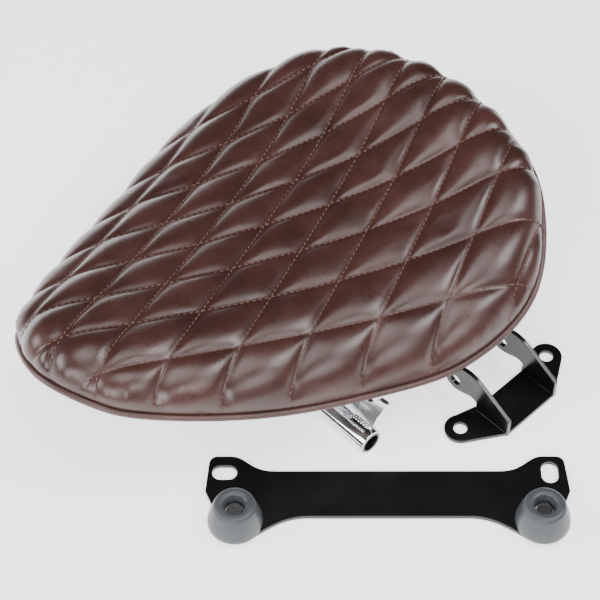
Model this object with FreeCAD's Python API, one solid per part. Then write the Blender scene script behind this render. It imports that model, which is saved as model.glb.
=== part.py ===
"""Solo motorcycle seat laid out as a kit: the seat pan with its quilted pad and pivot tube,
the hinge bracket that takes the tube, and the rest bar with its two rubber bumpers.

Frame: millimetres, +Z up, floor at z = 0, +X from the seat's nose to its tail,
+Y to the low side of the seat.  The origin is under the middle of the whole kit.
"""
import FreeCAD, Part
import math
import os

os.makedirs("parts", exist_ok=True)
V = FreeCAD.Vector

# ---- seat body --------------------------------------------------------------
SEAT_LENGTH = 363.0
# half outline from the nose: distance from the tip, half width
OUTLINE = [(0, 0), (12, 39), (36, 63), (91, 96), (152, 123), (218, 147),
           (283, 147), (333, 110), (355, 64), (363, 0)]
CREST = (92.0, -14.0, 26.5, 12.0, 10.0)   # mid-line height, powers of -1 (nose) to +1 (tail)
CROWN = (1.15e-3, -0.85e-3)               # sideways curvature at the middle, and its change
EDGE_DROP = 29.0                          # how far the foam rolls down at its edge
EDGE_ROLL = 43.0                          # width over which it rolls
SEAT_ROLL_DEG = 7.4                       # the tube props one side of the seat up
PAD_DEPTH = 24.0                          # pad surface to the top of the pan
PAN_SHEET = 2.0
PAN_INSET = 9.0                           # pan edge, in from the rim
COVER_THICK = 2.5
LAYER_GAP = 0.5
STATIONS = 15                             # cross-sections in each lofted layer

# ---- pivot tube under the seat ----------------------------------------------
TUBE_X = 150.0
TUBE_Y = -106.0
TUBE_LENGTH = 40.0
TUBE_R = 9.5
SLEEVE_R = 7.5
SLEEVE_BORE_R = 6.1
SLEEVE_RUNNING = 0.05                     # radial clearance of the turning sleeve
PLATE_Z = 44.0
PLATE_SIZE = (56.0, 40.0, 3.0)
PLATE_FROM_TUBE = (22.0, 30.0)            # plate's middle from the tube's middle
PLATE_BOLTS = (19.5, 11.0)                # bolts either side of the plate's middle
GUSSET_THICK = 3.0
GUSSET_LEAN = 14.0                        # how far it leans to the tail on its way up
# the gusset's top edge under the pan's edge, skirt and piping, outwards: across, height
GUSSET_TOP = [(-96.0, 34.8), (-115.5, 35.0), (-118.0, 37.8), (-121.0, 41.0), (-127.5, 41.4)]

# ---- rear rest rail, which the bumpers carry --------------------------------
RAIL_X = 292.0
RAIL_LENGTH = 200.0
RAIL_WIDTH = 34.0
RAIL_SHEET = 2.5
RAIL_DEPTH = 30.0
RAIL_BOLTS = 62.0                         # bolts either side of the middle
SPACER_R = 7.0

# ---- fasteners --------------------------------------------------------------
BOLT_R = 4.0
HOLE_R = 4.2
HEX_R = 7.5
HEAD_H = 5.3
NUT_H = 6.5

# ---- hinge bracket ----------------------------------------------------------
BRACKET_X = 245.5
BRACKET_Y = -179.3                        # outer edge
SHEET = 3.0
EAR_GAP = 42.0
BASE_DEPTH = 28.0
EAR_EDGE_Z = 15.5
PIVOT = (47.0, 16.5)                      # inward from the outer edge, height
PIVOT_HOLE_R = 4.1
EAR_TIP_R = 9.0
TAB_HOLES = 84.0                          # hole to hole
TAB_IN = 24.5
TAB_R = 10.5
TAB_HOLE_R = 4.5

# ---- rest bar and bumpers ---------------------------------------------------
BAR_X = 133.4
BAR_Y = -157.5
BAR_TURN_DEG = -44.0
BAR_HALF = 116.0
BAR_THICK = 3.2
BAR_EDGE = 17.0
LUG_TOP = 28.3
SLOT_AT = (104.0, 16.0)
SLOT_R = 5.4
SLOT_LENGTH = 16.0
BUMPER_AT = (96.5, -20.8)
BUMPER_R = 17.5
BUMPER_TOP_R = 12.6
BUMPER_H = 20.0
RECESS_R = 6.8
RECESS_DEPTH = 11.0
SCREW_R = 3.0
SCREW_HEAD_R = 5.2


def crossing(x):
    """Place along the seat as -1 at the nose and +1 at the tail."""
    return 2.0 * x / SEAT_LENGTH - 1.0


def smooth_outline(steps=12):
    """Half outline as a fine polyline: a Catmull-Rom curve through OUTLINE and its mirror."""
    points = [(x, -y) for x, y in OUTLINE[2:0:-1]] + OUTLINE + [(x, -y) for x, y in OUTLINE[-2:-4:-1]]
    fine = []
    for a, b, c, d in zip(points[1:], points[2:], points[3:], points[4:]):
        if b[1] < 0 or c[1] < 0:
            continue
        for i in range(steps):
            t = i / steps
            fine.append(tuple(0.5 * (2 * q + (r - p) * t + (2 * p - 5 * q + 4 * r - s) * t * t
                                     + (3 * q - p - 3 * r + s) * t ** 3)
                              for p, q, r, s in zip(a, b, c, d)))
    return fine + [OUTLINE[-1]]


RIM = smooth_outline()


def half_width(x):
    for (x0, y0), (x1, y1) in zip(RIM, RIM[1:]):
        if x0 <= x <= x1:
            return y0 + (y1 - y0) * (x - x0) / max(x1 - x0, 1e-6)
    return 0.0


def edge_distance(x, y):
    """Distance in plan from a point of the top to the rim."""
    best = 1e9
    for (x0, y0), (x1, y1) in zip(RIM, RIM[1:]):
        dx, dy = x1 - x0, y1 - y0
        t = ((x - x0) * dx + (abs(y) - y0) * dy) / max(dx * dx + dy * dy, 1e-9)
        t = min(1.0, max(0.0, t))
        best = min(best, math.hypot(x - x0 - t * dx, abs(y) - y0 - t * dy))
    return best


def top_height(x, y, distance):
    s = crossing(x)
    crest = sum(c * s ** i for i, c in enumerate(CREST))
    crown = (CROWN[0] + CROWN[1] * s) * y * y
    r = max(0.0, 1.0 - distance / EDGE_ROLL)
    return crest - crown - EDGE_DROP * (1.0 - math.sqrt(1.0 - r * r))


def rim_height(x):
    return top_height(x, half_width(x), 0.0)


def inset_half(x, inset):
    """Half width of the outline moved in by inset."""
    low, high = 0.0, half_width(x)
    for _ in range(30):
        y = 0.5 * (low + high)
        if edge_distance(x, y) > inset:
            low = y
        else:
            high = y
    return low


def stations(margin):
    span = SEAT_LENGTH - 2 * margin
    return [margin + span * (1 - math.cos(math.pi * (i + 0.5) / STATIONS)) / 2 for i in range(STATIONS)]


def section(x, half, bottom, top):
    """Closed cross-section: a curved top from rim to rim over a straight bottom."""
    count = 12
    ys = [half * math.sin(math.pi * (i / count - 0.5)) for i in range(count + 1)]
    points = [V(x, y, max(top(x, y), bottom + 0.8)) for y in ys]
    curve = Part.BSplineCurve()
    curve.interpolate(Points=points)
    low = [V(x, half, bottom), V(x, -half, bottom)]
    return Part.Wire([curve.toShape(), Part.LineSegment(points[-1], low[0]).toShape(),
                      Part.LineSegment(low[0], low[1]).toShape(),
                      Part.LineSegment(low[1], points[0]).toShape()])


def layer(inset, sink, bottom):
    """Loft under the pad's top: in by inset, down by sink, ending at the rim height plus bottom."""
    wires = []
    for x in stations(inset + 1.0):
        half = inset_half(x, inset)
        floor = rim_height(x) + bottom
        wires.append(section(x, half, floor, lambda u, y: top_height(u, y, edge_distance(u, y)) - sink))
    return Part.makeLoft(wires, True, False)


def slab(inset, top, bottom, taper=0.0):
    """Loft with flat sections that follow the rim's height."""
    wires = []
    for x in stations(max(inset, 0.0) + 1.0):
        half = inset_half(x, inset) if inset > 0 else half_width(x) - inset
        high, low = rim_height(x) + top, rim_height(x) + bottom
        foot = max(half - taper, 1.0)
        wires.append(Part.makePolygon([V(x, half, high), V(x, foot, low), V(x, -foot, low),
                                       V(x, -half, high), V(x, half, high)]))
    return Part.makeLoft(wires, True, False)


def prism(points, z, height):
    face = Part.Face(Part.makePolygon([V(x, y, z) for x, y in points + points[:1]]))
    return face.extrude(V(0, 0, height))


def hexagon(x, y, z, radius, height):
    corners = [(x + radius * math.cos(math.pi * i / 3), y + radius * math.sin(math.pi * i / 3)) for i in range(6)]
    return prism(corners, z, height)


def rod(x, y, z, radius, height):
    return Part.makeCylinder(radius, height, V(x, y, z))


def ring(x, y, z, outer, inner, height):
    return rod(x, y, z, outer, height).cut(rod(x, y, z, inner, height))


def group(shapes):
    return shapes[0] if len(shapes) == 1 else Part.makeCompound(shapes)


def solid_of(shape):
    """The largest solid of a cut, without crumbs."""
    return max(shape.Solids, key=lambda s: s.Volume)


def seat_layers():
    """Pad, cover, trims and pan in the seat's own level frame."""
    pan_top = layer(PAN_INSET, PAD_DEPTH, -8.0)
    pan_room = layer(PAN_INSET + PAN_SHEET, PAD_DEPTH + PAN_SHEET, -20.0)
    pan_clear = layer(PAN_INSET - LAYER_GAP, PAD_DEPTH - LAYER_GAP, -20.0)
    nodes = {
        "pan_shell": pan_top.cut(pan_room),
        "foam_pad": layer(COVER_THICK + LAYER_GAP, COVER_THICK + LAYER_GAP, 0.5).cut(pan_clear),
        "quilted_cover": layer(0.0, 0.0, 1.0).cut(layer(COVER_THICK, COVER_THICK, -8.0)),
        "piping_welt": slab(-1.5, 0.5, -4.0).cut(slab(2.5, 3.0, -8.0)),
        "side_skirt": slab(1.0, -4.5, -8.0, 4.0).cut(slab(PAN_INSET - LAYER_GAP, 3.0, -14.0)).cut(pan_clear),
        "pan_edge_trim": slab(PAN_INSET - 2.0, -9.0, -11.0).cut(slab(PAN_INSET + 4.0, 3.0, -16.0)),
    }
    return {name: solid_of(shape) for name, shape in nodes.items()}, pan_top, pan_room


def lowest(shape):
    """True lowest height, which a curved shape's bounding box overstates."""
    return min(v.z for v in shape.tessellate(0.5)[0])


def highest(shape):
    return max(v.z for v in shape.tessellate(0.5)[0])


def place_seat(layers, helpers):
    """Roll the seat on its side prop and stand its lowest edge on the floor."""
    for shape in layers + helpers:
        shape.rotate(V(0, 0, 0), V(1, 0, 0), -SEAT_ROLL_DEG)
    lift = -min(lowest(shape) for shape in layers)
    for shape in layers + helpers:
        shape.translate(V(0, 0, lift))


def stud_stack(spots, plate_z, plate_t, pan_top, pan_room):
    """Bolts from below through a plate, a spacer and the pan into nuts on top of the pan."""
    bolts, spacers, nuts, clear = [], [], [], []
    for x, y in spots:
        above = highest(rod(x, y, plate_z, 1.0, 90).common(pan_top))
        top = above + NUT_H
        bolts.append(hexagon(x, y, plate_z - HEAD_H, HEX_R, HEAD_H).fuse(
            rod(x, y, plate_z, BOLT_R, top - plate_z)).removeSplitter())
        spacers.append(solid_of(ring(x, y, plate_z + plate_t, SPACER_R, HOLE_R, 60).common(pan_room)))
        nut = hexagon(x, y, above - 4.0, HEX_R, NUT_H + 4.0).cut(rod(x, y, plate_z, BOLT_R, 90))
        nuts.append(solid_of(nut.cut(pan_top)))
        clear.append(rod(x, y, plate_z, HEX_R + 1.0, top - plate_z + 1.5))
    holes = group([rod(x, y, plate_z - 5, HOLE_R, 90) for x, y in spots])
    return bolts, spacers, nuts, clear, holes


def pivot_mount(pan_top, pan_room):
    """Tube, turning sleeve, gusset and plate that carry the seat's pivot."""
    y0 = TUBE_Y - TUBE_LENGTH / 2
    axis = V(0, 1, 0)
    bore = Part.makeCylinder(SLEEVE_R, TUBE_LENGTH, V(TUBE_X, y0, TUBE_R), axis)
    tube = Part.makeCylinder(TUBE_R, TUBE_LENGTH, V(TUBE_X, y0, TUBE_R), axis).cut(bore)
    sleeve = Part.makeCylinder(SLEEVE_R - SLEEVE_RUNNING, TUBE_LENGTH, V(TUBE_X, y0, TUBE_R), axis)
    sleeve = sleeve.cut(Part.makeCylinder(SLEEVE_BORE_R, TUBE_LENGTH, V(TUBE_X, y0, TUBE_R), axis))
    length, width, thick = PLATE_SIZE
    plate_x, plate_y = TUBE_X + PLATE_FROM_TUBE[0], TUBE_Y + PLATE_FROM_TUBE[1]
    spots = [(plate_x + i * PLATE_BOLTS[0], plate_y + j * PLATE_BOLTS[1]) for i in (-1, 1) for j in (-1, 1)]
    bolts, spacers, nuts, clear, holes = stud_stack(spots, PLATE_Z, thick, pan_top, pan_room)
    plate = Part.makeBox(length, width, thick, V(plate_x - length / 2, plate_y - width / 2, PLATE_Z))
    plate = plate.makeFillet(6.0, [e for e in plate.Edges if abs(e.Length - thick) < 0.01]).cut(holes)
    # the gusset leans from the tube to the plate, widens as it rises, and steps in past the pan's edge
    rise = PLATE_Z - TUBE_R
    edge_y = plate_y - width / 2 + 2.0
    profile = [(y0 + 4.0, TUBE_R), (y0 + TUBE_LENGTH - 2.0, TUBE_R), (plate_y, PLATE_Z), (edge_y, PLATE_Z)]
    profile += GUSSET_TOP + [(y0 + 2.0, TUBE_R + rise * 0.55), (y0 + 4.0, TUBE_R)]
    face = Part.makePolygon([V(TUBE_X + GUSSET_LEAN * (z - TUBE_R) / rise, y, z) for y, z in profile])
    gusset = Part.Face(face).extrude(V(GUSSET_THICK, 0, 0)).translated(V(-GUSSET_THICK / 2, 0, 0))
    gusset = solid_of(gusset.cut(Part.makeCylinder(TUBE_R, TUBE_LENGTH + 20, V(TUBE_X, y0 - 10, TUBE_R), axis)))
    return {"pivot_tube": tube, "pivot_sleeve": sleeve, "pivot_gusset": gusset,
            "pivot_plate": plate, "plate_bolts": group(bolts), "plate_spacers": group(spacers),
            "plate_nuts": group(nuts)}, clear, holes


def rest_rail(pan_top, pan_room):
    """Channel under the tail that sits on the bumpers, with its own fixings."""
    angle = math.radians(SEAT_ROLL_DEG)
    half = RAIL_LENGTH / 2
    low = half * math.tan(angle)
    outer = Part.makeBox(RAIL_WIDTH, RAIL_LENGTH, RAIL_DEPTH, V(RAIL_X - RAIL_WIDTH / 2, -half, 0))
    inner = Part.makeBox(RAIL_WIDTH - 2 * RAIL_SHEET, RAIL_LENGTH, RAIL_DEPTH,
                         V(RAIL_X - RAIL_WIDTH / 2 + RAIL_SHEET, -half, -RAIL_SHEET))
    rail = outer.cut(inner)
    rail.rotate(V(0, 0, 0), V(1, 0, 0), -SEAT_ROLL_DEG)
    rail.translate(V(0, 0, low * math.cos(angle)))
    spots = [(RAIL_X, y) for y in (-RAIL_BOLTS, RAIL_BOLTS)]
    bolts, spacers, nuts, clear, holes = [], [], [], [], []
    for x, y in spots:
        z = RAIL_DEPTH - RAIL_SHEET + (low - y * math.tan(angle))
        b, s, n, c, h = stud_stack([(x, y)], z - 0.2, RAIL_SHEET + 0.6, pan_top, pan_room)
        bolts += b
        spacers += s
        nuts += n
        clear += c
        holes.append(h)
    holes = group(holes)
    bolts = [solid_of(b.cut(rail.cut(holes))) for b in bolts]
    spacers = [solid_of(s.cut(rail)) for s in spacers]
    return {"rest_rail": solid_of(rail.cut(holes)), "rail_bolts": group(bolts), "rail_spacers": group(spacers),
            "rail_nuts": group(nuts)}, clear, holes


def hinge_bracket():
    """Bent plate: flat base, two upright arms with the pivot holes, and two bolt-down tabs."""
    half = EAR_GAP / 2 + SHEET
    x0, x1, y0 = BRACKET_X - half, BRACKET_X + half, BRACKET_Y
    body = Part.makeBox(2 * half, BASE_DEPTH, SHEET, V(x0, y0, 0))
    py, pz = y0 + PIVOT[0], PIVOT[1]
    ear_points = [(0, 0), (0, EAR_EDGE_Z), (25.5, 30.0)]
    arm_top = [V(0, y0 + 25.5, 30.0), V(0, y0 + 36.0, 36.0), V(0, y0 + 50.0, 34.0),
               V(0, py + EAR_TIP_R, pz)]
    arm_low = [V(0, py, pz - EAR_TIP_R), V(0, y0 + 38.0, 8.0), V(0, y0 + 34.0, 14.0),
               V(0, y0 + BASE_DEPTH, 10.0)]
    top, low = Part.BezierCurve(), Part.BezierCurve()
    top.setPoles(arm_top)
    low.setPoles(arm_low)
    corner = math.sqrt(0.5) * EAR_TIP_R
    tip = Part.Arc(arm_top[-1], V(0, py + corner, pz - corner), arm_low[0])
    ends = [V(0, y0 + y, z) for y, z in ear_points]
    lines = [Part.makeLine(arm_low[-1], V(0, y0 + BASE_DEPTH, 0)), Part.makeLine(V(0, y0 + BASE_DEPTH, 0), ends[0]),
             Part.makeLine(ends[0], ends[1]), Part.makeLine(ends[1], ends[2])]
    profile = Part.Face(Part.Wire([top.toShape(), tip.toShape(), low.toShape()] + lines))
    for x in (x0, x1 - SHEET):
        body = body.fuse(profile.extrude(V(SHEET, 0, 0)).translated(V(x, 0, 0)))
    for side in (-1, 1):
        hx, hy = BRACKET_X + side * TAB_HOLES / 2, y0 + TAB_IN
        foot = BRACKET_X + side * (half - SHEET / 2)
        # the outer edge of the tab runs from the bracket's corner and touches the round end
        dx, dy = hx - foot, hy - y0
        far = math.hypot(dx, dy)
        turn = math.atan2(dy, dx) + side * math.acos(TAB_R / far) - math.pi
        touch = (hx + TAB_R * math.cos(turn), hy + TAB_R * math.sin(turn))
        inner = (hx - side * 4.0, hy + TAB_R * 0.9)
        body = body.fuse(prism([(foot, y0), touch, (hx, hy), inner, (foot, hy + 5.0)], 0, SHEET))
        body = body.fuse(rod(hx, hy, 0, TAB_R, SHEET))
    for side in (-1, 1):
        body = body.cut(rod(BRACKET_X + side * TAB_HOLES / 2, y0 + TAB_IN, -1, TAB_HOLE_R, SHEET + 2))
    pivot = Part.makeCylinder(PIVOT_HOLE_R, 2 * half + 2, V(x0 - 1, py, pz), V(1, 0, 0))
    return {"hinge_bracket": body.cut(pivot).removeSplitter()}


def bar_outline():
    """Left half of the bar's edge from the top middle round the lug and bumper seat to the bottom."""
    bx, by = -BUMPER_AT[0], BUMPER_AT[1]
    r = BUMPER_R - 2.5

    def on_seat(degrees):
        a = math.radians(degrees)
        return V(bx + r * math.cos(a), by + r * math.sin(a), 0)

    ogee, sweep = Part.BezierCurve(), Part.BezierCurve()
    ogee.setPoles([V(-72, BAR_EDGE, 0), V(-88, BAR_EDGE, 0), V(-90, LUG_TOP, 0), V(-100, LUG_TOP, 0)])
    end = on_seat(-60)
    sweep.setPoles([end, end + V(11, 6.35, 0), V(-68, -BAR_EDGE, 0), V(-51, -BAR_EDGE, 0)])
    corner = Part.Arc(V(-109, LUG_TOP, 0), V(-112.3, LUG_TOP - 1.5, 0), V(-114, LUG_TOP - 5, 0))
    seat = Part.Arc(on_seat(150), on_seat(225), end)
    widest = V(-BAR_HALF, 2, 0)
    return [Part.makeLine(V(0, BAR_EDGE, 0), V(-72, BAR_EDGE, 0)), ogee.toShape(),
            Part.makeLine(V(-100, LUG_TOP, 0), V(-109, LUG_TOP, 0)), corner.toShape(),
            Part.makeLine(V(-114, LUG_TOP - 5, 0), widest), Part.makeLine(widest, on_seat(150)),
            seat.toShape(), sweep.toShape(), Part.makeLine(V(-51, -BAR_EDGE, 0), V(0, -BAR_EDGE, 0))]


def slot(x, y, along_x):
    run = SLOT_LENGTH - 2 * SLOT_R
    dx, dy = (run / 2, 0) if along_x else (0, run / 2)
    wide, tall = (dx, SLOT_R) if along_x else (SLOT_R, dy)
    box = Part.makeBox(2 * wide, 2 * tall, 10, V(x - wide, y - tall, -3))
    return box.fuse(rod(x - dx, y - dy, -3, SLOT_R, 10)).fuse(rod(x + dx, y + dy, -3, SLOT_R, 10)).removeSplitter()


def rest_bar():
    """Flat bar with a slotted lug and a bolted rubber bumper at each end."""
    left = bar_outline()
    right = [e.mirror(V(0, 0, 0), V(1, 0, 0)) for e in left]
    wire = Part.Wire(Part.__sortEdges__(left + right))
    plate = Part.Face(wire).extrude(V(0, 0, BAR_THICK))
    plate = plate.cut(slot(-SLOT_AT[0], SLOT_AT[1], True)).cut(slot(SLOT_AT[0], SLOT_AT[1], False))
    nodes = {}
    insert_r = SCREW_R + 2.2
    recess_z = BAR_THICK + BUMPER_H - RECESS_DEPTH
    for name, x in (("left", -BUMPER_AT[0]), ("right", BUMPER_AT[0])):
        y = BUMPER_AT[1]
        plate = plate.cut(rod(x, y, -1, insert_r, BAR_THICK + 2))
        rubber = Part.makeCone(BUMPER_R, BUMPER_TOP_R, BUMPER_H, V(x, y, BAR_THICK))
        rubber = rubber.makeFillet(1.8, [e for e in rubber.Edges if e.BoundBox.ZMin > BAR_THICK + 1])
        rubber = rubber.cut(rod(x, y, recess_z, RECESS_R, RECESS_DEPTH + 1))
        nodes["bumper_" + name] = rubber.cut(rod(x, y, 0, SCREW_R + 0.2, 30))
        nodes["bumper_washer_" + name] = ring(x, y, recess_z, RECESS_R - 0.4, SCREW_R + 0.2, 1.2)
        screw = hexagon(x, y, recess_z + 1.2, SCREW_HEAD_R, 4.0)
        nodes["bumper_screw_" + name] = screw.fuse(rod(x, y, 0, SCREW_R, recess_z + 1.2)).removeSplitter()
        nodes["clinch_nut_" + name] = ring(x, y, 0, insert_r, SCREW_R, BAR_THICK)
    nodes["rest_bar"] = plate
    for shape in nodes.values():
        shape.rotate(V(0, 0, 0), V(0, 0, 1), BAR_TURN_DEG)
        shape.translate(V(BAR_X, BAR_Y, 0))
    return nodes


def build():
    seat, pan_top, pan_room = seat_layers()
    place_seat(list(seat.values()), [pan_top, pan_room])
    mount, clear, holes = pivot_mount(pan_top, pan_room)
    rail, rail_clear, rail_holes = rest_rail(pan_top, pan_room)
    seat["pan_shell"] = solid_of(seat["pan_shell"].cut(holes).cut(rail_holes))
    for room in clear + rail_clear:
        seat["foam_pad"] = solid_of(seat["foam_pad"].cut(room))
    nodes = {**seat, **mount, **rail, **hinge_bracket(), **rest_bar()}
    points = [p for shape in nodes.values() for p in shape.tessellate(0.2)[0]]
    middle_x = (min(p.x for p in points) + max(p.x for p in points)) / 2
    middle_y = (min(p.y for p in points) + max(p.y for p in points)) / 2
    shift = V(-middle_x, -middle_y, 0)
    print("shift", shift)
    for name, shape in nodes.items():
        shape.translate(shift)
        if not shape.isValid():
            print("not valid:", name)
        shape.exportStep("parts/" + name + ".step")
        print(name, len(shape.Solids), round(shape.Volume))


build()
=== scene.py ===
"""Looks of the solo motorcycle seat kit: quilted leather pad, piping, skirt, stitching and hardware.

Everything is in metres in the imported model's frame: +X from nose to tail, +Y to the low side, +Z up.
The seat's shape is worked out in millimetres in its own level frame, and then rolled and set on the
box of the CAD piping.
"""

import math

import bmesh
import bpy
import numpy as np
from mathutils import Matrix, Vector, geometry, noise


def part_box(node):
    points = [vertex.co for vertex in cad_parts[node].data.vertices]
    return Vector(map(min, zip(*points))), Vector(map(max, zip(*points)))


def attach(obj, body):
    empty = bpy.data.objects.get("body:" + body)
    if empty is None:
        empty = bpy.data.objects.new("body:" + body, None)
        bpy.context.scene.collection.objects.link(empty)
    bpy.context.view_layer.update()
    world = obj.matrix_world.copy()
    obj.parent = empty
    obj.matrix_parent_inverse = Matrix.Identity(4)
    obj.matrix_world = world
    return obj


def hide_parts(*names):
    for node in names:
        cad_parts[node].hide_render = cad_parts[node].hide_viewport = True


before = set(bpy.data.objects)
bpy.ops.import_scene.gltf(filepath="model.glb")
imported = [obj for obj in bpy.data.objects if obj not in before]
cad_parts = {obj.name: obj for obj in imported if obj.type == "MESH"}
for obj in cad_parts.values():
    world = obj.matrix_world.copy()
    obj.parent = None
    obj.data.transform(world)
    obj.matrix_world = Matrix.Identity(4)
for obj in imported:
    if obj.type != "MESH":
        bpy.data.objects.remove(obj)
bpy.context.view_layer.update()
MM = 0.001

# ---- seat shape, millimetres in the seat's own level frame -------------------
SEAT_LENGTH = 363.0
OUTLINE = [(0, 0), (12, 39), (36, 63), (91, 96), (152, 123), (218, 147),
           (283, 147), (333, 110), (355, 64), (363, 0)]
CREST = (92.0, -14.0, 26.5, 12.0, 10.0)
CROWN = (1.15e-3, -0.85e-3)
EDGE_DROP = 29.0
EDGE_ROLL = 43.0
SEAT_ROLL = math.radians(7.4)
PAD_CENTRE = (205.0, 0.0)
PIPING_OVER_RIM = 0.5       # the CAD piping's top edge over the rim

CURVE_STEPS = 12            # points in each span of the outline
SLOPE_STEP = 0.6            # step over which the top's slope is measured

# ---- quilting: stitch lines at whole i and whole j ---------------------------
QUILT_START = 20.5          # first crossing on the mid-line, from the nose
QUILT_ALONG = (40.6, 0.27)  # half a diamond's length, and its growth towards the tail
QUILT_ACROSS = (16.6, 0.16)  # half a diamond's width, and its growth towards the sides
PUFF = 4.2                  # how far the middle of a diamond stands over its stitches
PUFF_SHAPE = 0.55           # under 1 fills a diamond out towards its stitches
PUFF_FULL = 9.0             # height over the rim at which the diamonds reach their full puff
SUNK = 1.2                  # how far the stitches pull the surface in
LOOSE = 0.8                 # slow unevenness of the stuffing
LOOSE_FULL = 12.0           # distance from the rim at which it is full
GROOVE_CREASE = 0.45        # how sharp the subdivision keeps a stitch line
BASE_RINGS = ((0.985, 2.5), (0.93, 3.5), (0.6, 20.0))  # hidden base: share of the outline, depth
BASE_NEAR_RIM = 0.9         # rings wider than this hang from the rim

# ---- the cover's cloth simulation, which only eases the diamonds a little ----
PRESSURE = 5.0
COVER_SLACK = 0.002         # spare length in the cover, as a share
SWELL_CAP = 2.5             # furthest it may move a point
SIM_FRAMES = 18

# ---- stitches ----------------------------------------------------------------
STITCH_PITCH = 4.2
STITCH_LENGTH = 3.1
STITCH_FAT = 0.5
STITCH_OVER = 0.45          # thread's middle over the groove
STITCH_DIP = 0.4            # how far its ends go in
STITCH_FROM_RIM = 0.3

# ---- piping and skirt --------------------------------------------------------
PIPING_R = 2.3
PIPING_OUT = 0.3            # cord's middle, out from the rim
PIPING_DOWN = 1.9           # and below it
# skirt's section: out from the rim, and height over it
SKIRT_SECTION = [(-1.2, -3.0), (-0.4, -4.2), (-0.8, -5.6), (-2.0, -6.9), (-3.8, -7.8), (-6.2, -8.2),
                 (-8.4, -8.1), (-8.4, -7.2), (-6.2, -7.2), (-4.2, -6.9), (-2.8, -6.1), (-2.0, -5.0),
                 (-2.2, -3.8)]
GATHER = 0.35               # how far the skirt's small gathers stand out

# ---- rubber bumpers ----------------------------------------------------------
BUMPER_TOP_R = 12.6
BUMPER_HOLE_R = 6.8
BUMPER_RECESS_Z = 9.0       # recess floor over the foot
BUMPER_SCREW_R = 3.2

# ---- weld at the gusset's outer end ------------------------------------------
WELD_FROM = 5.0             # from the tube's outer end
WELD_TO = 20.0
WELD_ASIDE = 1.9            # either side of the tube's top line
WELD_SUNK = 0.55
WELD_R = 1.0
WELD_RIPPLE = 0.14
WELD_RIPPLES = 7

# ---- mesh fineness -----------------------------------------------------------
AROUND = 360                # places round the rim
EDGE_ROWS = (0.5, 1.5)      # rows of points just inside it, where the edge is steep
CELLS = 12                  # mesh cells along one side of a diamond
CELLS_FROM_RIM = 3.0        # whole cells stop this far inside the rim
CORD_SIDES = 12


# ============================ seat shape ======================================
def catmull(points, steps):
    """Points of a closed Catmull-Rom curve through the given ones."""
    count = len(points)
    fine = []
    for k in range(count):
        p, q, r, s = (points[(k + o) % count] for o in (-1, 0, 1, 2))
        for i in range(steps):
            t = i / steps
            fine.append(tuple(0.5 * (2 * b + (c - a) * t + (2 * a - 5 * b + 4 * c - d) * t * t
                                     + (3 * b - a - 3 * c + d) * t ** 3)
                              for a, b, c, d in zip(p, q, r, s)))
    return fine


def even(points, count):
    """The closed polyline again with evenly spaced points."""
    loop = points + points[:1]
    lengths = [0.0]
    for a, b in zip(loop, loop[1:]):
        lengths.append(lengths[-1] + math.dist(a, b))
    found, k = [], 0
    for i in range(count):
        want = lengths[-1] * i / count
        while lengths[k + 1] < want:
            k += 1
        t = (want - lengths[k]) / max(lengths[k + 1] - lengths[k], 1e-9)
        found.append(tuple(a + (b - a) * t for a, b in zip(loop[k], loop[k + 1])))
    return found


RIM = catmull(OUTLINE + [(x, -y) for x, y in OUTLINE[-2:0:-1]], CURVE_STEPS)
HALF_RIM = RIM[:CURVE_STEPS * (len(OUTLINE) - 1) + 1]


def edge_distance(x, y):
    """Distance in plan from points of the top to the rim."""
    x, y = np.atleast_1d(x).astype(float), np.abs(np.atleast_1d(y)).astype(float)
    start = np.array(HALF_RIM[:-1])
    step = np.array(HALF_RIM[1:]) - start
    t = ((x[:, None] - start[:, 0]) * step[:, 0] + (y[:, None] - start[:, 1]) * step[:, 1])
    t = np.clip(t / np.maximum((step ** 2).sum(1), 1e-9), 0, 1)
    away = np.hypot(x[:, None] - start[:, 0] - t * step[:, 0], y[:, None] - start[:, 1] - t * step[:, 1])
    return away.min(1)


def half_width(x):
    """Half width of the outline, and -1 past its ends."""
    rim = np.array(HALF_RIM)
    return np.interp(x, rim[:, 0], rim[:, 1], left=-1.0, right=-1.0)


def rolled_up(distance):
    """Height over the rim that the rolled edge has gained at a distance from it."""
    r = np.maximum(0.0, 1.0 - distance / EDGE_ROLL)
    return EDGE_DROP * np.sqrt(np.maximum(0.0, 1.0 - r * r))


def top_height(x, y, distance):
    """Height of the seat's smooth top."""
    s = 2.0 * x / SEAT_LENGTH - 1.0
    crest = sum(c * s ** i for i, c in enumerate(CREST))
    crown = (CROWN[0] + CROWN[1] * s) * y * y
    return crest - crown - EDGE_DROP + rolled_up(distance)


def quilt(x, y):
    """Lattice place (i, j) of points of the top; y is positive on the high side."""
    a, b = QUILT_ALONG
    along = (np.sqrt(np.maximum(0.0, a * a + 4 * b * (x - QUILT_START))) - a) / (2 * b)
    a, b = QUILT_ACROSS
    across = np.sign(y) * (np.sqrt(a * a + 4 * b * np.abs(y)) - a) / (2 * b)
    return (along + across) / 2, (across - along) / 2


def unquilt(i, j):
    """Plan place of a lattice place."""
    along, across = i - j, i + j
    x = QUILT_START + QUILT_ALONG[0] * along + QUILT_ALONG[1] * along * along
    return x, across * (QUILT_ACROSS[0] + QUILT_ACROSS[1] * abs(across))


def puff(x, y, distance):
    """Height of the stuffed diamonds over the seat's smooth top."""
    i, j = quilt(x, -y)
    swell = np.abs(np.sin(np.pi * i) * np.sin(np.pi * j)) ** PUFF_SHAPE
    return (PUFF * swell - SUNK) * np.minimum(1.0, rolled_up(distance) / PUFF_FULL)


def smooth_top(x, y):
    return top_height(x, y, edge_distance(x, y))


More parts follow.
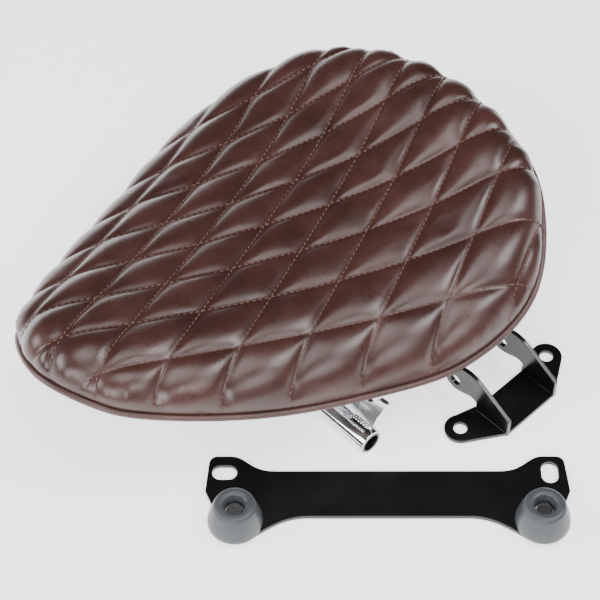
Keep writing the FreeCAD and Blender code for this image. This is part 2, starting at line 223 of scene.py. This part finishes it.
def surface(x, y):
    """Points of the smooth top as an array, their unit normals, and their distance to the rim."""
    x, y = np.atleast_1d(x).astype(float), np.atleast_1d(y).astype(float)
    e = SLOPE_STEP
    zx = (smooth_top(x + e, y) - smooth_top(x - e, y)) / (2 * e)
    zy = (smooth_top(x, y + e) - smooth_top(x, y - e)) / (2 * e)
    normal = np.stack([-zx, -zy, np.ones_like(zx)], 1)
    distance = edge_distance(x, y)
    points = np.stack([x, y, top_height(x, y, distance)], 1)
    return points, normal / np.linalg.norm(normal, axis=1)[:, None], distance


def rim_point(x, y):
    return Vector((x, y, float(top_height(x, y, 0.0))))


def seat_matrix():
    """Seat's frame to the model's: rolled about its length, then set on the CAD piping's box."""
    roll = Matrix.Rotation(-SEAT_ROLL, 4, "X")
    rolled = [roll @ rim_point(x, y) for x, y in RIM]
    low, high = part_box("piping_welt")
    middle_x = (min(p.x for p in rolled) + max(p.x for p in rolled)) / 2
    middle_y = (min(p.y for p in rolled) + max(p.y for p in rolled)) / 2
    top = max(p.z for p in rolled)
    shift = Vector(((low.x + high.x) / 2 / MM - middle_x, (low.y + high.y) / 2 / MM - middle_y,
                    high.z / MM - PIPING_OVER_RIM - top))
    return Matrix.Scale(MM, 4) @ Matrix.Translation(shift) @ roll


SEAT = seat_matrix()


# ============================ mesh helpers ====================================
def make_object(name, vertices, faces, smooth=True):
    """New mesh object with its faces turned outwards."""
    mesh = bpy.data.meshes.new(name)
    mesh.from_pydata([tuple(v) for v in vertices], [], faces)
    mesh.validate()
    mesh.update()
    obj = bpy.data.objects.new(name, mesh)
    bpy.context.collection.objects.link(obj)
    tidy = bmesh.new()
    tidy.from_mesh(mesh)
    bmesh.ops.recalc_face_normals(tidy, faces=tidy.faces)
    tidy.to_mesh(mesh)
    tidy.free()
    if smooth:
        mesh.polygons.foreach_set("use_smooth", [True] * len(mesh.polygons))
    return obj


def circle_angles(sides):
    return [2 * math.pi * i / sides for i in range(sides)]


def sweep_ring(name, rings):
    """Closed band through equal rings, each a closed list of points; the band closes on itself."""
    count = len(rings[0])
    vertices = [p for ring in rings for p in ring]
    faces = []
    for k in range(len(rings)):
        n = (k + 1) % len(rings)
        for i in range(count):
            m = (i + 1) % count
            faces.append((k * count + i, k * count + m, n * count + m, n * count + i))
    return make_object(name, vertices, faces)


def rim_frames(count):
    """Evenly spaced rim places: point, outward direction in plan."""
    plan = even(RIM, count)
    frames = []
    for k, (x, y) in enumerate(plan):
        ax, ay = plan[k - 1]
        bx, by = plan[(k + 1) % count]
        along = Vector((bx - ax, by - ay, 0)).normalized()
        out = Vector((along.y, -along.x, 0))
        if out.dot(Vector((x - PAD_CENTRE[0], y, 0))) < 0:
            out = -out
        frames.append((rim_point(x, y), out))
    return frames


def apply_modifiers(obj):
    """Put the modifiers' result into the mesh and remove them."""
    graph = bpy.context.evaluated_depsgraph_get()
    mesh = bpy.data.meshes.new_from_object(obj.evaluated_get(graph))
    obj.modifiers.clear()
    obj.data = mesh


def paint(obj, material):
    obj.data.materials.clear()
    obj.data.materials.append(material)


def finish_piece(obj, body, slot, material, *nodes):
    paint(obj, material)
    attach(obj, body)
    if nodes:
        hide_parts(*nodes)
    return obj


# ============================ materials =======================================
def new_material(name, color, metallic=0.0, roughness=0.5):
    material = bpy.data.materials.new(name)
    material.use_nodes = True
    nodes = material.node_tree.nodes
    shader = nodes["Principled BSDF"]
    shader.inputs["Base Color"].default_value = (*color, 1.0)
    shader.inputs["Metallic"].default_value = metallic
    shader.inputs["Roughness"].default_value = roughness
    return material, nodes, material.node_tree.links, shader


def add_noise(nodes, links, scale, detail=4.0, roughness=0.5):
    place = nodes.new("ShaderNodeTexCoord")
    texture = nodes.new("ShaderNodeTexNoise")
    texture.inputs["Scale"].default_value = scale
    texture.inputs["Detail"].default_value = detail
    texture.inputs["Roughness"].default_value = roughness
    links.new(place.outputs["Object"], texture.inputs["Vector"])
    return texture


def add_cells(nodes, links, scale):
    place = nodes.new("ShaderNodeTexCoord")
    texture = nodes.new("ShaderNodeTexVoronoi")
    texture.feature = "DISTANCE_TO_EDGE"
    texture.inputs["Scale"].default_value = scale
    links.new(place.outputs["Object"], texture.inputs["Vector"])
    return texture


def ramp(nodes, links, source, stops):
    node = nodes.new("ShaderNodeValToRGB")
    elements = node.color_ramp.elements
    while len(elements) < len(stops):
        elements.new(0.5)
    for element, (place, color) in zip(elements, stops):
        element.position = place
        element.color = (*color, 1.0)
    links.new(source, node.inputs["Fac"])
    return node


def add_bump(nodes, links, source, shader, strength, distance, before=None):
    bump = nodes.new("ShaderNodeBump")
    bump.inputs["Strength"].default_value = strength
    bump.inputs["Distance"].default_value = distance
    links.new(source, bump.inputs["Height"])
    if before:
        links.new(before.outputs["Normal"], bump.inputs["Normal"])
    links.new(bump.outputs["Normal"], shader.inputs["Normal"])
    return bump


def leather_material(name, dark, mid, light, roughness=(0.30, 0.46)):
    material, nodes, links, shader = new_material(name, mid)
    clouds = add_noise(nodes, links, 28.0, 6.0, 0.6)
    tint = ramp(nodes, links, clouds.outputs["Fac"], [(0.30, dark), (0.52, mid), (0.75, light)])
    links.new(tint.outputs["Color"], shader.inputs["Base Color"])
    wear = add_noise(nodes, links, 90.0, 5.0, 0.6)
    gloss = nodes.new("ShaderNodeMapRange")
    gloss.inputs["From Min"].default_value = 0.3
    gloss.inputs["From Max"].default_value = 0.7
    gloss.inputs["To Min"].default_value = roughness[0]
    gloss.inputs["To Max"].default_value = roughness[1]
    links.new(wear.outputs["Fac"], gloss.inputs["Value"])
    links.new(gloss.outputs["Result"], shader.inputs["Roughness"])
    shader.inputs["Specular IOR Level"].default_value = 0.55
    shader.inputs["Coat Weight"].default_value = 0.25
    shader.inputs["Coat Roughness"].default_value = 0.32
    grain = add_cells(nodes, links, 900.0)
    pores = add_noise(nodes, links, 1500.0, 3.0, 0.6)
    soft = add_noise(nodes, links, 55.0, 3.0, 0.5)
    first = add_bump(nodes, links, soft.outputs["Fac"], shader, 0.10, 0.002)
    second = add_bump(nodes, links, grain.outputs["Distance"], shader, 0.16, 0.0004, first)
    add_bump(nodes, links, pores.outputs["Fac"], shader, 0.08, 0.0002, second)
    return material


def thread_material():
    material, nodes, links, shader = new_material("thread", (0.12, 0.055, 0.044), 0.0, 0.5)
    fuzz = add_noise(nodes, links, 2500.0, 2.0, 0.5)
    tint = ramp(nodes, links, fuzz.outputs["Fac"], [(0.3, (0.095, 0.042, 0.033)), (0.7, (0.17, 0.09, 0.072))])
    links.new(tint.outputs["Color"], shader.inputs["Base Color"])
    add_bump(nodes, links, fuzz.outputs["Fac"], shader, 0.3, 0.0002)
    return material


def metal_material(name, color, roughness, grain_scale, grain, spread=0.06):
    material, nodes, links, shader = new_material(name, color, 1.0, roughness)
    texture = add_noise(nodes, links, grain_scale, 4.0, 0.6)
    change = nodes.new("ShaderNodeMapRange")
    change.inputs["To Min"].default_value = max(0.02, roughness - spread)
    change.inputs["To Max"].default_value = roughness + spread
    links.new(texture.outputs["Fac"], change.inputs["Value"])
    links.new(change.outputs["Result"], shader.inputs["Roughness"])
    if grain:
        add_bump(nodes, links, texture.outputs["Fac"], shader, grain, 0.0002)
    return material


def coated_material(name, dark, light, roughness, bump=0.12):
    """Powder coat or paint: fine orange peel and slight colour variation."""
    material, nodes, links, shader = new_material(name, dark, 0.0, roughness)
    peel = add_noise(nodes, links, 700.0, 3.0, 0.55)
    tint = ramp(nodes, links, peel.outputs["Fac"], [(0.3, dark), (0.7, light)])
    links.new(tint.outputs["Color"], shader.inputs["Base Color"])
    cloud = add_noise(nodes, links, 40.0, 4.0, 0.5)
    change = nodes.new("ShaderNodeMapRange")
    change.inputs["To Min"].default_value = roughness - 0.05
    change.inputs["To Max"].default_value = roughness + 0.08
    links.new(cloud.outputs["Fac"], change.inputs["Value"])
    links.new(change.outputs["Result"], shader.inputs["Roughness"])
    add_bump(nodes, links, peel.outputs["Fac"], shader, bump, 0.0003)
    return material


def rubber_material(name, dark, light):
    """Smooth moulded rubber that lets a little light through."""
    material, nodes, links, shader = new_material(name, dark, 0.0, 0.36)
    cloud = add_noise(nodes, links, 160.0, 3.0, 0.5)
    tint = ramp(nodes, links, cloud.outputs["Fac"], [(0.3, dark), (0.7, light)])
    links.new(tint.outputs["Color"], shader.inputs["Base Color"])
    shader.inputs["Subsurface Weight"].default_value = 0.25
    shader.inputs["Subsurface Radius"].default_value = (1.0, 1.0, 1.0)
    shader.inputs["Subsurface Scale"].default_value = 0.004
    fine = add_noise(nodes, links, 1200.0, 2.0, 0.5)
    add_bump(nodes, links, fine.outputs["Fac"], shader, 0.05, 0.0002)
    return material


LEATHER = leather_material("brown_leather", (0.032, 0.0105, 0.008), (0.050, 0.0175, 0.014),
                           (0.072, 0.027, 0.022), (0.24, 0.38))
# painted highlight: the piping is the pad's own brown leather, given a lighter colour to stand for the light
# its round cord catches
PIPING_LEATHER_PAINTED_HIGHLIGHT = leather_material("piping_leather_painted_highlight", (0.045, 0.017, 0.014), (0.070, 0.028, 0.024),
                          (0.10, 0.042, 0.036), (0.34, 0.46))
# painted shade: the skirt is the pad's own brown leather, given a slightly darker colour to stand for the
# shade under the rim; it is also given a higher roughness
SKIRT_LEATHER_PAINTED_SHADE = leather_material("skirt_leather_painted_shade", (0.030, 0.012, 0.011), (0.045, 0.019, 0.017), (0.06, 0.027, 0.024),
                         (0.45, 0.6))
THREAD = thread_material()
CHROME = metal_material("chrome_plate", (0.78, 0.79, 0.81), 0.09, 120.0, 0.0, 0.03)
SLEEVE = metal_material("sleeve_steel", (0.10, 0.10, 0.105), 0.35, 500.0, 0.05)
ZINC = metal_material("zinc_plate", (0.62, 0.62, 0.60), 0.28, 400.0, 0.06)
BLACK = coated_material("black_powder_coat", (0.0025, 0.0025, 0.003), (0.005, 0.005, 0.006), 0.20, 0.06)
PAN_PAINT = coated_material("pan_paint", (0.012, 0.012, 0.013), (0.022, 0.022, 0.024), 0.42)
RUBBER = rubber_material("grey_rubber", (0.052, 0.058, 0.064), (0.066, 0.073, 0.079))
SCREW = metal_material("screw_steel", (0.22, 0.22, 0.22), 0.24, 400.0, 0.05)
EDGE_RUBBER = coated_material("edge_rubber", (0.015, 0.013, 0.013), (0.028, 0.025, 0.024), 0.6, 0.25)


# ============================ quilted pad =====================================
def whole_cells():
    """Lattice cells that lie inside the rim: places in the lattice, plan points, corners by cell."""
    side = np.arange(-12 * CELLS, 12 * CELLS + 1)
    a, b = (g.ravel() for g in np.meshgrid(side, side))
    near = (np.abs(a + b) < 12 * CELLS) & (a - b > -2 * CELLS) & (a - b < 11 * CELLS)
    a, b = a[near], b[near]
    x, y = unquilt(a / CELLS, b / CELLS)
    kept = (half_width(x) > np.abs(y)) & (edge_distance(x, y) > CELLS_FROM_RIM)
    a, b, x, y = a[kept], b[kept], x[kept], -y[kept]
    place = {(int(p), int(q)): n for n, (p, q) in enumerate(zip(a, b))}
    cells = {}
    for p, q in place:
        corners = [place.get(c) for c in ((p, q), (p + 1, q), (p + 1, q + 1), (p, q + 1))]
        if None not in corners:
            cells[(p, q)] = corners
    used = sorted({n for corners in cells.values() for n in corners})
    renumber = {n: k for k, n in enumerate(used)}
    lines = [(int(a[n]), int(b[n])) for n in used]
    points = [(float(x[n]), float(y[n])) for n in used]
    return lines, points, {cell: tuple(renumber[n] for n in corners) for cell, corners in cells.items()}


def border_of(faces):
    """Edges that only one face uses."""
    seen = {}
    for face in faces:
        for p, q in zip(face, face[1:] + face[:1]):
            edge = (min(p, q), max(p, q))
            seen[edge] = seen.get(edge, 0) + 1
    return [edge for edge, count in seen.items() if count == 1]


def edge_points(rim):
    """Rows of points just inside the rim."""
    points = []
    for k, (px, py) in enumerate(rim):
        (ax, ay), (bx, by) = rim[k - 1], rim[(k + 1) % len(rim)]
        inward = Vector((-(by - ay), bx - ax)).normalized()
        if inward.dot(Vector((PAD_CENTRE[0] - px, -py))) < 0:
            inward = -inward
        points += [(px + inward.x * row, py + inward.y * row) for row in EDGE_ROWS]
    return points


def quilt_grid():
    """Plan mesh whose cells follow the stitch lines, trimmed to the rim.

    Gives the points, the faces, whether each point is held, the lattice places of the cells' points,
    and the number of the first point on the rim.
    """
    lines, points, cells = whole_cells()
    faces = list(cells.values())
    border = border_of(faces)
    held = [p % CELLS == 0 or q % CELLS == 0 for p, q in lines]
    rim = even(RIM, AROUND)
    rows = len(points)
    points += edge_points(rim)
    first = len(points)
    points += rim
    held += [True] * (len(points) - rows)
    # the strip between the whole cells and the rim
    ends = sorted({p for edge in border for p in edge}) + list(range(rows, first + AROUND))
    local = {p: k for k, p in enumerate(ends)}
    edges = [(local[p], local[q]) for p, q in border]
    edges += [(local[first + k], local[first + (k + 1) % AROUND]) for k in range(AROUND)]
    found = geometry.delaunay_2d_cdt([Vector(points[p]) for p in ends], edges, [], 0, 1e-6)
    triangles, origins = found[2], found[3]
    back = [ends[origin[0]] if origin else None for origin in origins]
    for face in triangles:
        corners = [back[p] for p in face]
        if None in corners:
            continue
        cx, cy = (sum(points[p][n] for p in corners) / 3 for n in (0, 1))
        i, j = quilt(np.array([cx]), np.array([-cy]))
        cell = (int(np.floor(i[0] * CELLS)), int(np.floor(j[0] * CELLS)))
        if cell not in cells and abs(cy) < half_width(cx):
            faces.append(tuple(corners))
    return points, faces, held, lines, first


def blow_up(obj, held):
    """Cloth simulation: held at its stitches and rim, the cover eases outwards a little."""
    start = np.array([v.co[:] for v in obj.data.vertices])
    group = obj.vertex_groups.new(name="sewn")
    group.add([n for n, fixed in enumerate(held) if fixed], 1.0, "REPLACE")
    cloth = obj.modifiers.new("cloth", "CLOTH")
    settings = cloth.settings
    settings.quality = 5
    settings.mass = 0.15
    settings.vertex_group_mass = "sewn"
    settings.tension_stiffness = settings.compression_stiffness = 18
    settings.shear_stiffness = 8
    settings.bending_stiffness = 6.0
    settings.use_pressure = True
    settings.uniform_pressure_force = PRESSURE
    settings.shrink_min = -COVER_SLACK
    settings.effector_weights.gravity = 0
    cloth.collision_settings.use_collision = False
    cloth.point_cache.frame_start = 1
    cloth.point_cache.frame_end = SIM_FRAMES
    scene = bpy.context.scene
    scene.frame_start, scene.frame_end = 1, SIM_FRAMES
    for frame_number in range(1, SIM_FRAMES + 1):
        scene.frame_set(frame_number)
    apply_modifiers(obj)
    scene.frame_set(1)
    obj.vertex_groups.clear()
    after = np.array([v.co[:] for v in obj.data.vertices])
    move = after - start
    size = np.linalg.norm(move, axis=1)
    move *= (np.minimum(size, SWELL_CAP * MM) / np.maximum(size, 1e-9))[:, None]
    obj.data.vertices.foreach_set("co", (start + move).ravel())
    obj.data.update()


def close_below(plan, vertices, faces, first):
    """Hidden underside of the pad, over the pan, added to vertices and faces."""
    last = first
    for share, sink in BASE_RINGS:
        start = len(vertices)
        for x, y in plan[first:]:
            px, py = PAD_CENTRE[0] + (x - PAD_CENTRE[0]) * share, y * share
            from_rim = (x, y, 0.0) if share > BASE_NEAR_RIM else (px, py, float(edge_distance(px, py)[0]))
            vertices.append(Vector((px, py, float(top_height(*from_rim)) - sink)))
        for k in range(AROUND):
            n = (k + 1) % AROUND
            faces.append((last + k, last + n, start + n, start + k))
        last = start
    vertices.append(sum((vertices[last + k] for k in range(AROUND)), Vector()) / AROUND)
    faces += [(last + k, last + (k + 1) % AROUND, len(vertices) - 1) for k in range(AROUND)]


def crease_stitch_lines(obj, lines):
    """Mark the edges along the stitch lines, so that the subdivision keeps them crisp."""
    mesh = bmesh.new()
    mesh.from_mesh(obj.data)
    crease = mesh.edges.layers.float.new("crease_edge")
    for edge in mesh.edges:
        p, q = (v.index for v in edge.verts)
        if p < len(lines) and q < len(lines):
            along = any(here == there and here % CELLS == 0 for here, there in zip(lines[p], lines[q]))
            edge[crease] = GROOVE_CREASE if along else 0.0
    mesh.to_mesh(obj.data)
    mesh.free()


def quilted_pad():
    """Closed pad: stuffed diamonds on top, an edge that rolls under the piping, and a hidden base."""
    plan, faces, held, lines, first = quilt_grid()
    flat = np.array(plan)
    points, normals, distance = surface(flat[:, 0], flat[:, 1])
    distance[first:] = 0.0
    lift = puff(flat[:, 0], flat[:, 1], distance)
    loose = np.array([noise.noise(Vector((x, y, 0)) * 0.03) for x, y in plan]) * LOOSE
    lift += loose * np.minimum(1.0, distance / LOOSE_FULL)
    vertices = [Vector(p) for p in points + normals * lift[:, None]]
    close_below(plan, vertices, faces, first)
    held += [True] * (len(vertices) - len(held))
    obj = make_object("quilted_pad", [SEAT @ v for v in vertices], faces)
    blow_up(obj, held)
    crease_stitch_lines(obj, lines)
    smoother = obj.modifiers.new("smoother", "SUBSURF")
    smoother.levels = smoother.render_levels = 1
    apply_modifiers(obj)
    obj.data.polygons.foreach_set("use_smooth", [True] * len(obj.data.polygons))
    finish_piece(obj, "seat", "brown_leather", LEATHER, "quilted_cover", "foam_pad")


def stitch_places():
    """Middle and direction in plan of each stitch along both families of quilt lines."""
    places = []
    fine = np.arange(-1400, 1401) / 100.0
    for family in (0, 1):
        for line in range(-10, 11):
            whole = np.full_like(fine, line)
            i, j = (whole, fine) if family == 0 else (fine, whole)
            x, y = unquilt(i, j)
            good = (i - j > -1) & (i - j < 11) & (half_width(x) > np.abs(y))
            if good.sum() < 4:
                continue
            x, y = x[good], -y[good]
            steps = np.diff(surface(x, y)[0], axis=0)
            run = np.concatenate([[0], np.cumsum(np.linalg.norm(steps, axis=1))])
            for at in np.arange(STITCH_PITCH / 2, run[-1], STITCH_PITCH):
                here = np.array([np.interp(at, run, x), np.interp(at, run, y)])
                there = np.array([np.interp(at + 0.5, run, x), np.interp(at + 0.5, run, y)])
                if edge_distance(*here)[0] > STITCH_FROM_RIM:
                    places.append((here, there - here))
    return places


def thread_length(base, tangent, normal, around, along):
    """Rings of points of one plump stitch whose ends dip in."""
    side = normal.cross(tangent)
    points = []
    for a in range(along + 1):
        s = a / along * 2 - 1
        fat = STITCH_FAT * math.sqrt(max(0.08, 1 - s * s * 0.8))
        centre = base + tangent * (s * STITCH_LENGTH / 2) - normal * (STITCH_DIP * s * s)
        points += [centre + side * (fat * math.cos(turn)) + normal * (fat * math.sin(turn))
                   for turn in circle_angles(around)]
    return points


def stitching():
    """Each stitch is a short plump length of thread that dips into the leather at both ends."""
    around, along = 6, 4
    places = stitch_places()
    middles = np.array([p for p, _ in places])
    points, normals, distance = surface(middles[:, 0], middles[:, 1])
    lifts = puff(middles[:, 0], middles[:, 1], distance)
    vertices, faces = [], []
    for (_, heading), point, normal, lift in zip(places, points, normals, lifts):
        point, normal = Vector(point), Vector(normal)
        tangent = Vector((heading[0], heading[1], 0.0)).normalized()
        tangent.z = -(normal.x * tangent.x + normal.y * tangent.y) / normal.z
        tangent.normalize()
        start = len(vertices)
        vertices += thread_length(point + normal * (lift + STITCH_OVER), tangent, normal, around, along)
        for a in range(along):
            for b in range(around):
                n = (b + 1) % around
                faces.append((start + a * around + b, start + a * around + n,
                              start + (a + 1) * around + n, start + (a + 1) * around + b))
        faces.append(tuple(start + b for b in reversed(range(around))))
        faces.append(tuple(start + along * around + b for b in range(around)))
    obj = make_object("quilt_stitching", [SEAT @ v for v in vertices], faces)
    finish_piece(obj, "seat", "brown_leather", THREAD)


# ============================ piping and skirt ================================
def piping():
    """Round covered cord sewn into the seam all round the pad."""
    rings = []
    for k, (point, out) in enumerate(rim_frames(AROUND)):
        centre = point + out * PIPING_OUT - Vector((0, 0, PIPING_DOWN))
        r = PIPING_R * (1.0 + 0.025 * noise.noise(Vector((k * 0.35, 0, 0))))
        rings.append([SEAT @ (centre + out * (r * math.cos(a)) + Vector((0, 0, r * math.sin(a))))
                      for a in circle_angles(CORD_SIDES)])
    obj = sweep_ring("piping_cord", rings)
    finish_piece(obj, "seat", "brown_leather", PIPING_LEATHER_PAINTED_HIGHLIGHT, "piping_welt")


def skirt():
    """Leather band that turns from the piping in under the pan, with small gathers."""
    rings = []
    for k, (point, out) in enumerate(rim_frames(AROUND)):
        ring = []
        for o, z in SKIRT_SECTION:
            deep = min(1.0, max(0.0, (-z - 5.0) / 4.0))
            gather = GATHER * deep * noise.noise(Vector((k * 330 / AROUND, 3.0, 0)))
            ring.append(SEAT @ (point + out * (o + gather) + Vector((0, 0, z + gather * 0.5))))
        rings.append(ring)
    obj = sweep_ring("under_skirt", rings)
    finish_piece(obj, "seat", "brown_leather", SKIRT_LEATHER_PAINTED_SHADE, "side_skirt")


# ============================ hardware ========================================
def dress(node, body, slot, material, bevel, segments=2):
    """The CAD piece again with softened edges; it stands for the node."""
    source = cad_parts[node]
    mesh = source.data.copy()
    mesh.transform(source.matrix_world)
    obj = bpy.data.objects.new(node + "_finished", mesh)
    bpy.context.collection.objects.link(obj)
    clean = bmesh.new()
    clean.from_mesh(mesh)
    bmesh.ops.remove_doubles(clean, verts=clean.verts, dist=1e-6)
    bmesh.ops.dissolve_limit(clean, angle_limit=math.radians(1.0), verts=clean.verts, edges=clean.edges)
    clean.to_mesh(mesh)
    clean.free()
    round_off = obj.modifiers.new("edges", "BEVEL")
    round_off.width = bevel
    round_off.segments = segments
    round_off.limit_method = "ANGLE"
    round_off.angle_limit = math.radians(38)
    mesh.polygons.foreach_set("use_smooth", [True] * len(mesh.polygons))
    flat = obj.modifiers.new("flat_faces", "WEIGHTED_NORMAL")
    flat.keep_sharp = False
    apply_modifiers(obj)
    finish_piece(obj, body, slot, material, node)


def lathe(name, centre, profile, sides):
    """Solid of revolution about +Z through centre; profile is a closed ring of (radius, height)."""
    rings = [[centre + Vector((r * math.cos(a), r * math.sin(a), z)) for a in circle_angles(sides)]
             for r, z in profile]
    return sweep_ring(name, rings)


def bumper(side):
    """Moulded rubber buffer: flared foot, rounded shoulder and a deep recess over its screw."""
    low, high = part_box("bumper_" + side)
    centre = Vector(((low.x + high.x) / 2, (low.y + high.y) / 2, low.z))
    foot = (high.x - low.x) / 2 / MM
    tall = (high.z - low.z) / MM
    top, hole, recess, screw = BUMPER_TOP_R, BUMPER_HOLE_R, BUMPER_RECESS_Z, BUMPER_SCREW_R
    profile = [(screw, 0.0), (foot - 1.2, 0.0), (foot - 0.3, 0.35), (foot, 1.3), (foot - 0.2, 4.0),
               (foot - 1.0, 8.0), (foot - 2.4, 12.5), (top + 1.1, tall - 3.0), (top + 0.1, tall - 0.9),
               (top - 1.3, tall - 0.1), (top - 2.6, tall), (hole + 1.2, tall - 0.1), (hole + 0.3, tall - 0.6),
               (hole, tall - 1.6), (hole, recess + 0.2), (hole - 0.2, recess), (screw, recess)]
    obj = lathe("rubber_bumper_" + side, centre, [(r * MM, z * MM) for r, z in profile], 72)
    finish_piece(obj, "rest_bar", "grey_rubber", RUBBER, "bumper_" + side)


def weld_bead():
    """Rippled weld where the gusset's outer end stands on the pivot tube."""
    tube_low, tube_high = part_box("pivot_tube")
    steps, sides = 60, 10
    run = (WELD_TO - WELD_FROM) * MM
    for label, aside in (("nose", -WELD_ASIDE), ("tail", WELD_ASIDE)):
        vertices = []
        for k in range(steps + 1):
            t = k / steps
            bulge = WELD_R + WELD_RIPPLE * math.cos(t * 2 * math.pi * WELD_RIPPLES)
            if k in (0, steps):
                bulge = 0.3
            centre = Vector(((tube_low.x + tube_high.x) / 2 + aside * MM,
                             tube_low.y + WELD_FROM * MM + run * t, tube_high.z - WELD_SUNK * MM))
            vertices += [centre + Vector((bulge * MM * math.cos(a), 0, bulge * MM * math.sin(a)))
                         for a in circle_angles(sides)]
        faces = []
        for k in range(steps):
            for i in range(sides):
                n = (i + 1) % sides
                faces.append((k * sides + i, k * sides + n, (k + 1) * sides + n, (k + 1) * sides + i))
        faces += [tuple(range(sides)), tuple(steps * sides + i for i in reversed(range(sides)))]
        obj = make_object("weld_bead_" + label, vertices, faces)
        finish_piece(obj, "seat", "chrome", CHROME)


def hardware():
    """Softened copies of the pieces that show, and finishes for the CAD pieces that stay."""
    dress("pivot_tube", "seat", "chrome", CHROME, 0.5 * MM)
    dress("pivot_gusset", "seat", "chrome", CHROME, 0.5 * MM)
    dress("pivot_plate", "seat", "chrome", CHROME, 0.4 * MM)
    dress("rest_rail", "seat", "pan_paint", PAN_PAINT, 0.5 * MM)
    dress("pivot_sleeve", "pivot_sleeve", "sleeve_steel", SLEEVE, 0.3 * MM)
    dress("hinge_bracket", "hinge_bracket", "black_coat", BLACK, 0.5 * MM, 3)
    dress("rest_bar", "rest_bar", "black_coat", BLACK, 0.5 * MM, 3)
    for side in ("left", "right"):
        dress("bumper_screw_" + side, "rest_bar", "zinc_steel", SCREW, 0.3 * MM)
        bumper(side)
    kept = {"pan_shell": PAN_PAINT, "pan_edge_trim": EDGE_RUBBER}
    for zinc_node in ("plate_bolts", "plate_spacers", "plate_nuts", "rail_bolts", "rail_spacers", "rail_nuts",
                      "bumper_washer_left", "bumper_washer_right", "clinch_nut_left", "clinch_nut_right"):
        kept[zinc_node] = ZINC
    for node, material in kept.items():
        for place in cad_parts[node].material_slots:
            place.material = material


# ============================ stage, light and camera =========================
def stage():
    """Plain pale floor that glows a little, as a lit studio table does."""
    size, z = 6.0, -0.0004
    corners_of_floor = [(-size, -size, z), (size, -size, z), (size, size, z), (-size, size, z)]
    floor = make_object("floor", corners_of_floor, [(0, 1, 2, 3)], smooth=False)
    material, _, _, shader = new_material("pale_floor", (0.93, 0.93, 0.93), 0.0, 0.9)
    shader.inputs["Specular IOR Level"].default_value = 0.1
    shader.inputs["Emission Color"].default_value = (1.0, 1.0, 1.0, 1.0)
    shader.inputs["Emission Strength"].default_value = 1.5
    paint(floor, material)


def area_light(name, place, target, size, power):
    data = bpy.data.lights.new(name, "AREA")
    data.shape = "RECTANGLE"
    data.size, data.size_y = size
    data.energy = power
    lamp = bpy.data.objects.new(name, data)
    lamp.location = place
    lamp.rotation_euler = (Vector(target) - Vector(place)).to_track_quat("-Z", "Y").to_euler()
    bpy.context.collection.objects.link(lamp)


CAMERA_TURN = -44.04        # degrees about Z, from -Y
CAMERA_RISE = 51.57         # degrees over the floor
CAMERA_AWAY = 1.36
CAMERA_AIM = (0.0224, 0.0457, 0.0)
LENS = 119.04


def toward(turn, rise):
    """Unit vector from the object towards a turn about Z and a rise, both in degrees."""
    a, e = math.radians(turn), math.radians(rise)
    return Vector((math.sin(a) * math.cos(e), -math.cos(a) * math.cos(e), math.sin(e)))


def lights():
    """Five softboxes and a dim studio that is bright at the floor's edge and overhead."""
    aim = (0.0, 0.0, 0.05)
    area_light("key_box", toward(-62, 30) * 2.2, aim, (1.5, 0.9), 34)
    area_light("camera_box", toward(-5, 42) * 2.2, aim, (1.1, 0.8), 16)
    area_light("right_box", toward(46, 50) * 2.2, aim, (0.8, 0.6), 20)
    area_light("left_box", toward(-128, 32) * 2.2, aim, (1.4, 0.8), 34)
    area_light("top_box", toward(0, 88) * 2.0, aim, (1.2, 1.2), 18)
    world = bpy.data.worlds.new("studio")
    world.use_nodes = True
    nodes, links = world.node_tree.nodes, world.node_tree.links
    place = nodes.new("ShaderNodeTexCoord")
    split = nodes.new("ShaderNodeSeparateXYZ")
    links.new(place.outputs["Generated"], split.inputs["Vector"])
    shade = ramp(nodes, links, split.outputs["Z"], [(0.0, (0.9, 0.9, 0.9)), (0.05, (0.12, 0.12, 0.12)),
                                                    (0.88, (0.07, 0.07, 0.07)), (0.98, (0.3, 0.3, 0.3))])
    links.new(shade.outputs["Color"], nodes["Background"].inputs["Color"])
    nodes["Background"].inputs["Strength"].default_value = 0.8
    bpy.context.scene.world = world


def camera():
    """The photo's view."""
    data = bpy.data.cameras.new("camera")
    data.lens = LENS
    data.sensor_width = 36.0
    back = toward(CAMERA_TURN, CAMERA_RISE)
    seen_from = bpy.data.objects.new("camera", data)
    seen_from.location = Vector(CAMERA_AIM) + back * CAMERA_AWAY
    seen_from.rotation_euler = (-back).to_track_quat("-Z", "Y").to_euler()
    bpy.context.collection.objects.link(seen_from)
    bpy.context.scene.camera = seen_from


camera()
stage()
lights()
quilted_pad()
stitching()
piping()
skirt()
hardware()
weld_bead()


def corners(box):
    return [[float(v) for v in corner] for corner in box]
